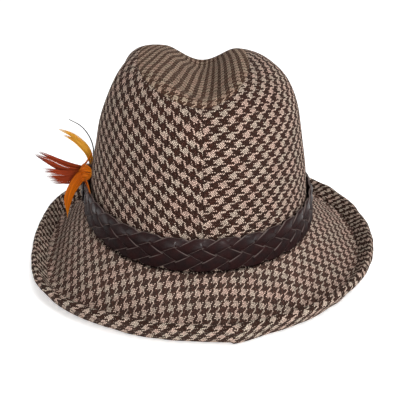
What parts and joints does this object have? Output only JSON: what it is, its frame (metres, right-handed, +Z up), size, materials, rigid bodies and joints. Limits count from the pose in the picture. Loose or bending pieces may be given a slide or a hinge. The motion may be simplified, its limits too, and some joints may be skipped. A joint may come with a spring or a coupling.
{
  "type": "fedora",
  "caption": "Houndstooth cloth fedora with a creased crown, a turned-up bound brim, a braided leather band and a tuft of feathers at the left side.",
  "frame": {"origin": "on the surface that the hat rests on, under the middle of its overall box", "axes": "+Z up out of the crown, +Y towards the back of the hat, +X towards the wearer's left"},
  "size_m": [0.2524, 0.2962, 0.1407],
  "materials": {
    "houndstooth_cloth": "matt woven wool in dark brown and light tan checks",
    "brown_leather": "semi-gloss dark brown",
    "rust_feather": "soft barbs with a slight sheen",
    "orange_feather": "soft barbs with a slight sheen",
    "gold_feather": "soft barbs with a slight sheen",
    "grey_quill": "smooth dark shaft"
  },
  "bodies": {
    "root": {"crown_side_left": "houndstooth_cloth", "crown_side_right": "houndstooth_cloth", "crown_tip": "houndstooth_cloth", "brim": "houndstooth_cloth", "brim_binding": "houndstooth_cloth", "braided_band": "brown_leather", "feather_rust": "rust_feather", "feather_orange": "orange_feather", "feather_gold": "gold_feather", "feather_quill": "grey_quill"}
  },
  "joints": []
}
